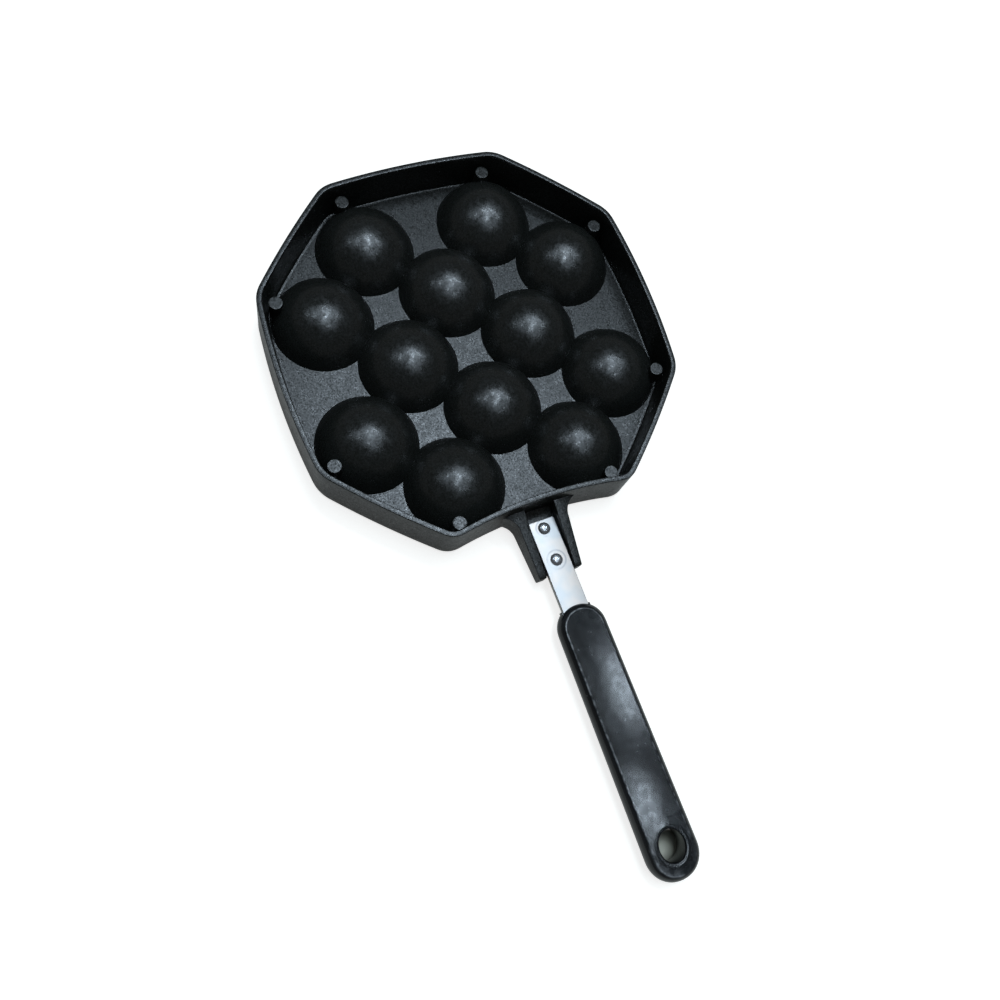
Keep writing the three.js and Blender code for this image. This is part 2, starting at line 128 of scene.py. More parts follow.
def depth_inside(plan, batch=4000):
    """How far each plan point is inside the skirt's outline, and the direction that leads further in."""
    a = outline(0)
    b = np.roll(a, -1, 0)
    span = b - a
    best, inward = np.full(len(plan), 1e9), np.zeros((len(plan), 2))
    for start in range(0, len(plan), batch):
        p = plan[start:start + batch, None]
        t = np.clip(((p - a) * span).sum(-1) / (span**2).sum(-1), 0, 1)
        away = p - (a + t[..., None] * span)
        distance = np.linalg.norm(away, axis=-1)
        near = distance.argmin(1)
        rows = np.arange(len(near))
        left = np.stack([-span[near, 1], span[near, 0]], 1)
        left /= np.linalg.norm(left, axis=1)[:, None]
        best[start:start + batch] = distance[rows, near] * np.sign((away[rows, near] * left).sum(-1))
        inward[start:start + batch] = left
    return best, inward


def blended(a, b, width):
    """The lesser of two distances, rounded off where they meet."""
    h = np.clip(1 - np.abs(a - b) / width, 0, None)
    return np.minimum(a, b) - 0.25 * width * h * h


def above_metal(p, depth):
    """Distance above the casting's underside: floor, wall, posts and domes, filleted together."""
    wall = ROOT_WALL + (RIM_WALL - ROOT_WALL) * (p[:, 2] - FLOOR_Z) / (RIM_Z - FLOOR_Z)
    far = blended(p[:, 2] - FLOOR_Z, depth - wall, FILLETS["wall"])
    for x, y in cups:
        dome = np.sqrt((p[:, 0] - x) ** 2 + (p[:, 1] - y) ** 2 + (p[:, 2] - dome_z) ** 2) - DOME_RADIUS
        far = blended(far, dome, FILLETS["dome"])
    top = FLOOR_Z + POST_HEIGHT
    for x, y in posts:
        radius = POST_RADIUS + POST_DRAFT * (top - p[:, 2]) / POST_HEIGHT
        side = np.hypot(p[:, 0] - x, p[:, 1] - y) - radius
        far = blended(far, -blended(-side, top - p[:, 2], FILLETS["post_top"]), FILLETS["post"])
    return far


def below_metal(p, depth):
    """Distance below the cooking side: its flat face, the lip round it and the cups' hollows."""
    far = blended(COOKING_Z - p[:, 2], depth - ROOT_WALL, FILLETS["lip"])
    for x, y in cups:
        hollow = CUP_RADIUS - np.sqrt((p[:, 0] - x) ** 2 + (p[:, 1] - y) ** 2 + (p[:, 2] - cup_z) ** 2)
        far = -blended(-far, -hollow, FILLETS["cup_mouth"])
    return far


def settled(points, distance, rounds=8, step=0.01, longest=0.6):
    """Moves points onto the filleted surface, a little in each round."""
    start_depth, inward = depth_inside(points[:, :2])
    home = points[:, :2].copy()
    p = points.copy()
    for _ in range(rounds):
        def at(q):
            return distance(q, start_depth + ((q[:, :2] - home) * inward).sum(-1))
        here = at(p)
        slope = np.stack([(at(p + step * axis) - here) / step for axis in np.eye(3)], 1)
        move = here[:, None] * slope / np.maximum((slope**2).sum(-1), 0.2)[:, None]
        p -= np.clip(move, -longest, longest)
    return p


def rings_round(centre, radii, spacing):
    """Plan points on circles, each turned a little against the one inside it."""
    found = []
    for k, radius in enumerate(radii):
        count = max(6, round(2 * math.pi * radius / spacing))
        turn = (np.arange(count) + 0.5 * (k % 2)) * 2 * math.pi / count
        found.append(centre + radius * np.stack([np.cos(turn), np.sin(turn)], 1))
    return np.concatenate(found)


def plan_of(features, wall_gap=0.12, longest_edge=1.7):
    """A triangulated plan inside the skirt: runs of points joined by edges first, then loose points.

    Each feature is its points, the gap that they keep from earlier features, and whether they are a run.
    A point at AWAY is none: it breaks a run.
    """
    kept = [tuple(p) for p in border]
    edges = [(i, (i + 1) % len(border)) for i in range(len(border))]
    for points, gap, is_run in features:
        tree = KDTree(len(kept))
        for i, (x, y) in enumerate(kept):
            tree.insert((x, y, 0), i)
        tree.balance()
        depth, _ = depth_inside(points)
        before = None
        for p, d in zip(points, depth):
            free = d > ROOT_WALL + wall_gap and tree.find((*p, 0))[2] > gap
            if free:
                if is_run and before is not None and math.dist(before, p) < longest_edge:
                    edges.append((len(kept) - 1, len(kept)))
                kept.append(tuple(p))
            before = p if free else None
    found = delaunay_2d_cdt([Vector(p) for p in kept], edges, [], 1, 1e-5)
    order = [origin[0] for origin in found[3]]
    return np.array(kept), [[order[i] for i in triangle] for triangle in found[2]]


def own_cell(centre, points):
    """The points that are nearer to this cup than to any other."""
    distance = np.linalg.norm(points[:, None] - cups, axis=-1)
    mine = np.linalg.norm(points - centre, axis=-1)
    return points[mine <= distance.min(1) - 0.15]


border = outline(-ROOT_WALL)
AWAY = (1e3, 1e3)
spread = np.arange(-92, 92, 2.4)
grid = np.stack(np.meshgrid(spread, spread), -1).reshape(-1, 2)

# The side that faces up: rings of points on posts and domes, with runs along the domes' feet and the seams
# where two domes meet, so that each crisp line of the casting is an edge of the mesh.
post_foot = POST_RADIUS + POST_DRAFT
post_clear = post_foot + 1.3
post_radii = [0.8, 1.6, 2.4, 2.8, 3.0, 3.1, 3.2] + [POST_RADIUS + POST_DRAFT * i / 6 for i in range(1, 7)]
post_radii += [3.6, 3.9, 4.4]
post_points = np.concatenate([rings_round(p, post_radii, 0.45) for p in posts])
steep = math.asin(foot_radius / DOME_RADIUS)
dome_radii = [DOME_RADIUS * math.sin(steep * i / 26) for i in range(1, 26)]
dome_points = np.concatenate([own_cell(c, rings_round(c, [0.01] + dome_radii, 1.25)) for c in cups])
touch = math.acos(CUP_SPACING / 2 / foot_radius)
half_seam = foot_radius * math.sin(touch)
seams, feet = [], []
for a in cups:
    away = [b - a for b in cups if 1 < np.linalg.norm(b - a) < CUP_SPACING + 1]
    bearings = np.array([math.atan2(d[1], d[0]) for d in away])
    meets = np.concatenate([bearings - touch, bearings + touch])
    evenly = np.linspace(-math.pi, math.pi, 118)
    clash = np.abs(np.angle(np.exp(1j * (evenly[:, None] - meets)))).min(1) < 0.012
    around = np.sort(np.concatenate([evenly[~clash], np.angle(np.exp(1j * meets))]))
    ring = a + foot_radius * np.stack([np.cos(around), np.sin(around)], 1)
    own = np.linalg.norm(ring[:, None] - cups, axis=-1).min(1) > foot_radius - 1e-6
    feet += [p if mine else AWAY for p, mine in zip(ring, own)] + [AWAY]
    for d in away:
        if math.atan2(d[1], d[0]) > 0:
            across = np.array([-d[1], d[0]]) / CUP_SPACING
            seams += [a + d / 2 + across * t for t in np.linspace(-half_seam, half_seam, 23)] + [AWAY]
feet, seams = np.array(feet), np.array(seams)
near_wall = np.concatenate([outline(-ROOT_WALL - d) for d in (0.3, 0.7, 1.3, 2.3)])


def post_gap(points):
    """How far each point is from the nearest post's axis."""
    return np.linalg.norm(points[:, None] - posts, axis=-1).min(1)


feet[post_gap(feet) < post_foot + 0.15] = AWAY
plan, top_faces = plan_of([
    (feet, -1, True), (seams, -1, True), (post_points, 0.22, False),
    (dome_points[post_gap(dome_points) > post_clear], 0.35, False),
    (near_wall[post_gap(near_wall) > post_clear], 0.5, False), (grid[post_gap(grid) > 5], 1.3, False)])


def hard_top(plan):
    """Height of the side that faces up before its fillets."""
    height = np.full(len(plan), FLOOR_Z)
    for c in cups:
        d = np.linalg.norm(plan - c, axis=1)
        height = np.maximum(height, dome_z + np.sqrt(np.clip(DOME_RADIUS**2 - d**2, 0, None)))
    for p in posts:
        fall = np.clip((np.linalg.norm(plan - p, axis=1) - POST_RADIUS) / POST_DRAFT, 0, None)
        height = np.maximum(height, FLOOR_Z + POST_HEIGHT * (1 - fall))
    return height


top = settled(np.column_stack([plan, hard_top(plan)]), above_metal)

# The cooking side, hidden in the photograph: rings of points up into the cups, as runs where the walls stand
# steep towards the rounded mouths.
hollow_radii = [0.01] + [CUP_RADIUS * math.sin(math.radians(t)) for t in np.arange(3.6, 64, 3.6)]
hollow_points = np.concatenate([rings_round(c, hollow_radii, 1.3) for c in cups])
mouth_radii = [CUP_RADIUS * math.sin(math.radians(t)) for t in (65, 68, 71, 73.5, 75.5, 77, 78.2, 79.3, 80.4)]
mouth_radii += [mouth_radius + d for d in (0.0, 0.15, 0.35, 0.6, 0.9)]
circle = np.array([(math.cos(t), math.sin(t)) for t in np.linspace(-math.pi, math.pi, 97)])
mouths = np.concatenate([[*(c + radius * circle), AWAY] for c in cups for radius in mouth_radii])
lip_points = np.concatenate([outline(-ROOT_WALL - d) for d in (0.3, 0.7, 1.3)])
plan, low_faces = plan_of([
    (mouths, -1, True), (hollow_points, 0.5, False), (lip_points, 0.4, False), (grid, 1.4, False)])
height = np.full(len(plan), COOKING_Z)
for c in cups:
    d = np.linalg.norm(plan - c, axis=1)
    height = np.maximum(height, cup_z + np.sqrt(np.clip(CUP_RADIUS**2 - d**2, 0, None)))
low = settled(np.column_stack([plan, height]), below_metal)


def arc(offset, z, radius, start, end, steps=4):
    """Profile points of a rounded edge about offset, z, from start to end degrees."""
    turns = np.radians(np.linspace(start, end, steps + 1))
    return [(offset + radius * math.cos(t), z + radius * math.sin(t)) for t in turns]


def inner_wall(z):
    """The inner wall's offset from the outline at height z."""
    return -(ROOT_WALL + (RIM_WALL - ROOT_WALL) * (z - FLOOR_Z) / (RIM_Z - FLOOR_Z))


# The skirt: a profile of offset and height, swept round the outline. It climbs the inner wall, turns over the
# rim, goes down the outer wall and under the lip, and meets the cooking side.
climb = [(inner_wall(z), z) for z in (6.5, 7.1, 7.8, 8.8, 10, 12, 14, 16, 18, 20, 21.5, 22.8)]
over = arc(RIM_EDGE - RIM_WALL, RIM_Z - RIM_EDGE, RIM_EDGE, 180, 90, 3)
over += arc(-RIM_EDGE, RIM_Z - RIM_EDGE, RIM_EDGE, 90, 0, 3)
down = [(SKIRT_FLARE * (RIM_Z - z) / RIM_Z, z) for z in (20, 16, 12, 8, 4)]
under = arc(SKIRT_FLARE - LIP_EDGE, LIP_EDGE, LIP_EDGE, 0, -90, 5)
under += arc(LIP_INNER_EDGE - ROOT_WALL, LIP_INNER_EDGE, LIP_INNER_EDGE, -90, -180)
profile = climb + over + down + under + [(-ROOT_WALL, 1.0), (-ROOT_WALL, 1.5)]
rings = []
for offset, z in profile:
    ring = outline(offset)
    rings.append(np.column_stack([ring, np.full(len(ring), z)]))
for k in range(len(climb)):
    rings[k][:, 2] = np.maximum(rings[k][:, 2], hard_top(rings[k][:, :2]))
rings[: len(climb)] = np.split(settled(np.concatenate(rings[: len(climb)]), above_metal), len(climb))

vertices = np.concatenate([top] + rings + [low])
count, faces = len(border), [list(f) for f in top_faces]
starts = [0] + [len(top) + k * count for k in range(len(rings))] + [len(top) + len(rings) * count]
for a, b in zip(starts, starts[1:]):
    faces += [[a + i, a + (i + 1) % count, b + (i + 1) % count, b + i] for i in range(count)]
faces += [[starts[-1] + i for i in reversed(f)] for f in low_faces]


def mesh_object(name, vertices, faces, material, crisp=38):
    """An object from millimetre points about the cups' middle, smooth but for edges over crisp degrees."""
    mesh = bpy.data.meshes.new(name)
    place = (np.asarray(vertices, float) - [MIDDLE_X, 0, 0]) / 1000
    mesh.from_pydata(place.tolist(), [], [list(map(int, f)) for f in faces])
    mesh.validate()
    work = bmesh.new()
    work.from_mesh(mesh)
    bmesh.ops.remove_doubles(work, verts=work.verts, dist=1e-7)
    bmesh.ops.recalc_face_normals(work, faces=work.faces)
    work.to_mesh(mesh)
    work.free()
    mesh.shade_smooth()
    mesh.set_sharp_from_angle(angle=math.radians(crisp))
    mesh.materials.append(material)
    made = bpy.data.objects.new(name, mesh)
    bpy.context.scene.collection.objects.link(made)
    return made


def linear(code):
    """An sRGB hex colour as linear RGBA."""
    parts = [int(code[i:i + 2], 16) / 255 for i in (1, 3, 5)]
    return [c / 12.92 if c <= 0.04045 else ((c + 0.055) / 1.055) ** 2.4 for c in parts] + [1]


def node(tree, kind, settings=None, **links):
    """Adds a node: settings are properties or sockets' values, links feed sockets by name or as i0, i1."""
    made = tree.nodes.new(kind)
    for key, value in (settings or {}).items():
        if isinstance(key, int) or key in made.inputs:
            made.inputs[key].default_value = value
        else:
            setattr(made, key, value)
    for key, source in links.items():
        place = int(key[1:]) if key[0] == "i" and key[1:].isdigit() else key.replace("_", " ")
        tree.links.new(source, made.inputs[place])
    return made


def new_material(name):
    """An empty material and its node tree."""
    material = bpy.data.materials.new(name)
    material.use_nodes = True
    material.node_tree.nodes.clear()
    return material, material.node_tree


def cells(size):
    """The noise scale that gives cells of this size in millimetres."""
    return 1000 / size


# Sprayed non-stick coating on cast aluminium: matt black, sleek where it ran thin over the domes and sandy on
# flats and walls. It gives the eye blotchy highlights on the domes and a dull sparkle on the floor.
# Its grains are drawn coarser than the real spray, which would vanish at this size of picture.
SPRAY_GRAIN = 0.769
SPRAY_MOTTLE = 2.381
SPRAY_DUST = 0.2222
coating, tree = new_material("sprayed_nonstick_coating")
where = node(tree, "ShaderNodeTexCoord").outputs["Object"]
on_dome = node(tree, "ShaderNodeAttribute", {"attribute_name": "dome_skin"}).outputs["Fac"]
grain = node(tree, "ShaderNodeTexNoise", {"Scale": cells(SPRAY_GRAIN), "Detail": 3.0, "Roughness": 0.72},
             Vector=where)
mottle = node(tree, "ShaderNodeTexNoise", {"Scale": cells(SPRAY_MOTTLE), "Detail": 4.0, "Roughness": 0.65},
              Vector=where)
tone = node(tree, "ShaderNodeValToRGB", {}, Fac=grain.outputs["Fac"])
tone.color_ramp.elements[0].position, tone.color_ramp.elements[1].position = 0.3, 0.75
tone.color_ramp.elements[0].color = linear("#121310")
tone.color_ramp.elements[1].color = linear("#1e201f")
sleek = node(tree, "ShaderNodeMapRange", {"From Min": 0.36, "From Max": 0.64, "To Min": 0.2, "To Max": 0.38},
             Value=mottle.outputs["Fac"])
sandy = node(tree, "ShaderNodeMapRange", {"From Min": 0.36, "From Max": 0.64, "To Min": 0.26, "To Max": 0.38},
             Value=mottle.outputs["Fac"])
rough = node(tree, "ShaderNodeMix", {"data_type": "FLOAT"}, i0=on_dome, i2=sandy.outputs["Result"],
             i3=sleek.outputs["Result"])
least = node(tree, "ShaderNodeMapRange", {"To Min": 0.12, "To Max": 0.31}, Value=on_dome)
most = node(tree, "ShaderNodeMapRange", {"To Min": 0.87, "To Max": 0.85}, Value=on_dome)
gleam = node(tree, "ShaderNodeMapRange", {"From Min": 0.34, "From Max": 0.66}, Value=grain.outputs["Fac"],
             To_Min=least.outputs["Result"], To_Max=most.outputs["Result"])
dust = node(tree, "ShaderNodeTexNoise", {"Scale": cells(SPRAY_DUST), "Detail": 1.0}, Vector=where)
depth = node(tree, "ShaderNodeMapRange", {"To Min": 0.45, "To Max": 0.08}, Value=on_dome)
fine = node(tree, "ShaderNodeBump", {"Distance": 0.00003}, Strength=depth.outputs["Result"],
            Height=dust.outputs["Fac"])
lumpy = node(tree, "ShaderNodeMapRange", {"To Min": 0.25, "To Max": 0.12}, Value=on_dome)
pebble = node(tree, "ShaderNodeBump", {"Distance": 0.00004}, Strength=lumpy.outputs["Result"],
              Height=mottle.outputs["Fac"], Normal=fine.outputs["Normal"])
surface = node(tree, "ShaderNodeBsdfPrincipled", {"IOR": 1.45}, Base_Color=tone.outputs["Color"],
               Roughness=rough.outputs[0], Specular_IOR_Level=gleam.outputs["Result"],
               Normal=pebble.outputs["Normal"])
node(tree, "ShaderNodeOutputMaterial", Surface=surface.outputs["BSDF"])

casting = mesh_object("casting", vertices, faces, coating)
points = np.array([v.co for v in casting.data.vertices]) * 1000 + [MIDDLE_X, 0, 0]
reach = np.linalg.norm(points[:, None, :2] - cups, axis=-1).min(1)
off_posts = np.clip(post_gap(points[:, :2]) - 3.6, 0, 1)
smooth_skin = np.clip(foot_radius - reach, 0, 1) * off_posts * (points[:, 2] > FLOOR_Z)
smooth_skin = np.maximum(smooth_skin, 0.65 * (points[:, 2] > RIM_Z - 0.8))
casting.data.attributes.new("dome_skin", "FLOAT", "POINT").data.foreach_set("value", smooth_skin)
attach(casting, "root")
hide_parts(*[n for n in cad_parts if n.startswith(("cup_", "plate_corner_", "skirt_"))])

# The lug: cast in one with the skirt. A flat web carries the strap between two ribs, which flare out into the
# skirt at their roots, and thin and fall away towards their tips.
STRAP_WIDTH = 12.4
STRAP_THICKNESS = 3.0
STRAP_TOP = 10.2
LUG_ROOT = STRAP_START - 7.4
FLARE_START = LUG_ROOT + 2.2
RIB_TIP = STRAP_START + 25.4
RIB_INNER = STRAP_WIDTH / 2 + 0.9
RIB_ROOT_WIDTH = 4.7
RIB_TIP_WIDTH = 3.4
RIB_RISE = 4.6  # rib's top above the strap's, beside the strap's near end
RIB_FALL = 5.0  # from there to the tip
RIB_FLARE = 8.0
RIB_EDGE = 0.35
RIB_TIP_ROUND = 0.6
RIB_TIP_DROP = 0.4
RIB_DRAFT = 0.035  # how much wider a rib gets downwards, for each millimetre
WEB_HALF_WIDTH = 8.8
WEB_FILLET = 2.6  # rise of the web's hollow curve where it meets the skirt
WEB_FILLET_LENGTH = 5.6


def lofted(sections):
    """Vertices and faces of a closed bar through cross-sections with one count of points each."""
    count = len(sections[0])
    vertices = [point for section in sections for point in section]
    faces = [[a + i, a + (i + 1) % count, a + count + (i + 1) % count, a + count + i]
             for a in range(0, len(vertices) - count, count) for i in range(count)]
    faces += [list(range(count))[::-1], [len(vertices) - count + i for i in range(count)]]
    return vertices, faces


def rounded_section(x, y0, y1, z0, z1, radius):
    """A cross-section at x with rounded corners, from y0 to y1 and z0 to z1."""
    corners = [(y1 - radius, z0 + radius, -90), (y1 - radius, z1 - radius, 0),
               (y0 + radius, z1 - radius, 90), (y0 + radius, z0 + radius, 180)]
    return [(x, y, z) for cy, cz, start in corners for y, z in arc(cy, cz, radius, start, start + 90, 4)]


def rib_outer(x):
    """How far out a rib's outer side stands at x."""
    root_end = FLARE_START + RIB_FLARE
    thinning = RIB_ROOT_WIDTH - RIB_TIP_WIDTH
    width = RIB_ROOT_WIDTH - thinning * np.clip((x - root_end) / (RIB_TIP - root_end), 0, 1)
    flare = np.clip(1 - (x - FLARE_START) / RIB_FLARE, 0, 1)
    tip = np.clip(1 - (RIB_TIP - x) / RIB_TIP_ROUND, 0, 1)
    flared = RIB_INNER + width + RIB_FLARE * (1 - np.sqrt(1 - flare**2))
    return flared - RIB_TIP_ROUND * (1 - np.sqrt(1 - tip**2))


lug_vertices, lug_faces = [], []
flare_steps = np.array([-2.2, 0, 0.2, 0.5, 0.9, 1.4, 2.0, 2.7, 3.5, 4.5, 5.7, 6.9, 8])
stations = np.concatenate([FLARE_START + flare_steps, np.linspace(FLARE_START + 10, RIB_TIP - 2, 9),
                           RIB_TIP - RIB_TIP_ROUND * (1 - np.sin(np.radians([15, 35, 55, 75, 90])))])
for side in (1, -1):
    sections = []
    for x in stations:
        fall = (x - STRAP_START) / (RIB_TIP - STRAP_START)
        rise = STRAP_TOP + RIB_RISE - RIB_FALL * fall
        tip = max(0, 1 - (RIB_TIP - x) / RIB_TIP_ROUND)
        rise -= RIB_TIP_DROP * (1 - math.sqrt(1 - tip**2))
        section = rounded_section(x, RIB_INNER, float(rib_outer(x)), COOKING_Z, rise, RIB_EDGE)
        section = [(a, b + RIB_DRAFT * (rise - c) * (b > RIB_INNER + 1.5), c) for a, b, c in section]
        sections.append([(a, side * b, c) for a, b, c in section])
    found, shell = lofted(sections)
    lug_faces += [[i + len(lug_vertices) for i in f] for f in shell]
    lug_vertices += found
web = []
for x in [LUG_ROOT + d for d in (0, 1.3, 1.7, 2.1, 2.6, 3.2, 3.9, 4.7, 5.7, 6.9)] + [RIB_TIP - 1.2]:
    fillet = WEB_FILLET * max(0, 1 - (x - LUG_ROOT - 1.3) / WEB_FILLET_LENGTH) ** 2
    top_z = STRAP_TOP - STRAP_THICKNESS + fillet
    web.append(rounded_section(x, -WEB_HALF_WIDTH, WEB_HALF_WIDTH, COOKING_Z, top_z, 0.4))
found, shell = lofted(web)
lug_faces += [[i + len(lug_vertices) for i in f] for f in shell]
lug_vertices += found
lug = mesh_object("lug", lug_vertices, lug_faces, coating)
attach(lug, "root")

# The strap: a flat bar of stainless steel, cut square and eased at its edges. It was polished by hand, so its
# shine is cloudy to the eye, and the tool that set the two rivets left a faint ring round each. The ring's
# shade is painted into the colour as a dark, broken line.
# Its polishing lines are drawn coarser than real ones, which would vanish at this size of picture.
RIVET_X = (STRAP_START + 4.2, STRAP_START + 19.3)
TOOL_RINGS = (3.7, 4.3)
TANG_END = STRAP_START + 102.6
POLISH_LINE = 0.4  # width of a line
POLISH_LINE_SHAPE = 0.06  # its width as a share of its length
POLISH_CLOUD = 11.11
polished, tree = new_material("polished_stainless_steel")
where = node(tree, "ShaderNodeTexCoord").outputs["Object"]
long_way = node(tree, "ShaderNodeMapping", {"Scale": (POLISH_LINE_SHAPE, 1.0, 1.0)}, Vector=where)
polish = node(tree, "ShaderNodeTexNoise", {"Scale": cells(POLISH_LINE), "Detail": 2.0},
              Vector=long_way.outputs[0])
cloud = node(tree, "ShaderNodeTexNoise", {"Scale": cells(POLISH_CLOUD), "Detail": 2.5, "Roughness": 0.55},
             Vector=where)
tint = node(tree, "ShaderNodeValToRGB", {}, Fac=cloud.outputs["Fac"])
tint.color_ramp.elements[0].position, tint.color_ramp.elements[1].position = 0.4, 0.62
tint.color_ramp.elements[0].color = linear("#a6a6a6")
tint.color_ramp.elements[1].color = linear("#b9b0a9")
# Painted shade of the tool rings: the colour darkens towards #767a80 in a thin band at each ring's radius.
bands = []
for x, radius in zip(RIVET_X, TOOL_RINGS):
    rivet_axis = ((x - MIDDLE_X) / 1000, 0, STRAP_TOP / 1000)
    spot = node(tree, "ShaderNodeVectorMath", {"operation": "DISTANCE", 1: rivet_axis}, i0=where)
    off = node(tree, "ShaderNodeMath", {"operation": "SUBTRACT", 1: radius / 1000}, i0=spot.outputs["Value"])
    away = node(tree, "ShaderNodeMath", {"operation": "ABSOLUTE"}, i0=off.outputs[0])
    bands.append(node(tree, "ShaderNodeMapRange", {"From Min": 0.0001, "From Max": 0.0006, "To Min": 0.6,
                                                   "To Max": 0.0}, Value=away.outputs[0]))
rings = node(tree, "ShaderNodeMath", {"operation": "MAXIMUM"}, i0=bands[0].outputs[0], i1=bands[1].outputs[0])
broken = node(tree, "ShaderNodeMapRange", {"From Min": 0.42, "From Max": 0.56}, Value=cloud.outputs["Fac"])
ring_groove_shade = node(tree, "ShaderNodeMath", {"operation": "MULTIPLY"}, i0=rings.outputs[0],
                 i1=broken.outputs["Result"])
marked = node(tree, "ShaderNodeMix", {"data_type": "RGBA", 7: linear("#767a80")}, i0=ring_groove_shade.outputs[0],
              i6=tint.outputs["Color"])
rough = node(tree, "ShaderNodeMapRange", {"To Min": 0.4, "To Max": 0.5}, Value=cloud.outputs["Fac"])
lines = node(tree, "ShaderNodeBump", {"Strength": 0.12, "Distance": 0.00003}, Height=polish.outputs["Fac"])
surface = node(tree, "ShaderNodeBsdfPrincipled", {"Metallic": 1.0}, Base_Color=marked.outputs[2],
               Roughness=rough.outputs["Result"], Normal=lines.outputs["Normal"])
node(tree, "ShaderNodeOutputMaterial", Surface=surface.outputs["BSDF"])

STRAP_CORNER = 1.1
STRAP_EDGE = 0.25
END_EDGE = 0.2
strap_base = STRAP_TOP - STRAP_THICKNESS
strap_sections = []
for d in (0, 0.08, 0.25, 0.5, 0.8, STRAP_CORNER):
    half = STRAP_WIDTH / 2 - STRAP_CORNER + math.sqrt(STRAP_CORNER**2 - (STRAP_CORNER - d) ** 2)
    edge = STRAP_EDGE if d > END_EDGE else 0.12
    low_z, high_z = strap_base + END_EDGE - min(d, END_EDGE), STRAP_TOP - END_EDGE + min(d, END_EDGE)
    strap_sections.append(rounded_section(STRAP_START + d, -half, half, low_z, high_z, edge))
strap_sections += [rounded_section(x, -STRAP_WIDTH / 2, STRAP_WIDTH / 2, strap_base, STRAP_TOP, STRAP_EDGE)
                   for x in np.linspace(STRAP_START + 4, TANG_END, 30)]
strap = mesh_object("strap", *lofted(strap_sections), polished)
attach(strap, "root")
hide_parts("strap")

# The rivets: solid aluminium, domed and dented by the setting tool, with a shank through strap and web.
# Both are one turned shape, a Geometry Nodes tree set at each hole. They give the eye small, uneven glints.
RIVET_DENT = 2.083
bright, tree = new_material("set_aluminium_rivet")
where = node(tree, "ShaderNodeTexCoord").outputs["Object"]
dents = node(tree, "ShaderNodeTexNoise", {"Scale": cells(RIVET_DENT), "Detail": 2.0}, Vector=where)
rough = node(tree, "ShaderNodeMapRange", {"To Min": 0.18, "To Max": 0.3}, Value=dents.outputs["Fac"])
lumps = node(tree, "ShaderNodeBump", {"Strength": 0.3, "Distance": 0.0004}, Height=dents.outputs["Fac"])
surface = node(tree, "ShaderNodeBsdfPrincipled", {"Metallic": 0.8, "Base Color": linear("#aaabad")},
               Roughness=rough.outputs["Result"], Normal=lumps.outputs["Normal"])
node(tree, "ShaderNodeOutputMaterial", Surface=surface.outputs["BSDF"])

rivets = bpy.data.node_groups.new("set_rivet", "GeometryNodeTree")
face = rivets.interface
face.new_socket("Geometry", in_out="OUTPUT", socket_type="NodeSocketGeometry")
face.new_socket("Place", in_out="INPUT", socket_type="NodeSocketVector")
for key in ("Head Radius", "Head Height", "Head Base", "Tail Base", "Shank Radius"):
    face.new_socket(key, in_out="INPUT", socket_type="NodeSocketFloat")
sizes = rivets.nodes.new("NodeGroupInput").outputs
head = node(rivets, "GeometryNodeMeshCylinder", {"Vertices": 48, "Side Segments": 1, "Fill Segments": 10,
                                                 "Depth": 0.0002}, Radius=sizes["Head Radius"])
at = node(rivets, "GeometryNodeInputPosition")
split = node(rivets, "ShaderNodeSeparateXYZ", {}, Vector=at.outputs[0])
flat = node(rivets, "ShaderNodeCombineXYZ", {}, X=split.outputs["X"], Y=split.outputs["Y"])
reach = node(rivets, "ShaderNodeVectorMath", {"operation": "LENGTH"}, i0=flat.outputs[0])
share = node(rivets, "ShaderNodeMath", {"operation": "DIVIDE", "use_clamp": True},
             i0=reach.outputs["Value"], i1=sizes["Head Radius"])
square = node(rivets, "ShaderNodeMath", {"operation": "POWER", 1: 2.0}, i0=share.outputs[0])
left = node(rivets, "ShaderNodeMath", {"operation": "SUBTRACT", "use_clamp": True, 0: 1.0},
            i1=square.outputs[0])
dome = node(rivets, "ShaderNodeMath", {"operation": "POWER", 1: 0.5}, i0=left.outputs[0])
lift = node(rivets, "ShaderNodeMath", {"operation": "MULTIPLY"}, i0=dome.outputs[0], i1=sizes["Head Height"])
above = node(rivets, "FunctionNodeCompare", {"data_type": "FLOAT", "operation": "GREATER_THAN"},
             A=split.outputs["Z"])
raise_by = node(rivets, "ShaderNodeCombineXYZ", {}, Z=lift.outputs[0])
domed = node(rivets, "GeometryNodeSetPosition", {}, Geometry=head.outputs["Mesh"],
             Selection=above.outputs[0], Offset=raise_by.outputs[0])
head_up = node(rivets, "ShaderNodeCombineXYZ", {}, Z=sizes["Head Base"])
head_on = node(rivets, "GeometryNodeTransform", {}, Geometry=domed.outputs[0], Translation=head_up.outputs[0])
ends = {"i0": sizes["Head Base"], "i1": sizes["Tail Base"]}
shank_length = node(rivets, "ShaderNodeMath", {"operation": "SUBTRACT"}, **ends)
both_ends = node(rivets, "ShaderNodeMath", {"operation": "ADD"}, **ends)
shank_middle = node(rivets, "ShaderNodeMath", {"operation": "MULTIPLY", 1: 0.5}, i0=both_ends.outputs[0])
shank = node(rivets, "GeometryNodeMeshCylinder", {"Vertices": 48, "Side Segments": 1},
             Radius=sizes["Shank Radius"], Depth=shank_length.outputs[0])
shank_up = node(rivets, "ShaderNodeCombineXYZ", {}, Z=shank_middle.outputs[0])
shank_on = node(rivets, "GeometryNodeTransform", {}, Geometry=shank.outputs["Mesh"],
                Translation=shank_up.outputs[0])
tail = node(rivets, "GeometryNodeTransform", {"Scale": (1, 1, -0.8)}, Geometry=domed.outputs[0])
tail_up = node(rivets, "ShaderNodeCombineXYZ", {}, Z=sizes["Tail Base"])
tail_on = node(rivets, "GeometryNodeTransform", {}, Geometry=tail.outputs[0], Translation=tail_up.outputs[0])
tail_out = node(rivets, "GeometryNodeFlipFaces", {}, Mesh=tail_on.outputs[0])
whole = rivets.nodes.new("GeometryNodeJoinGeometry")
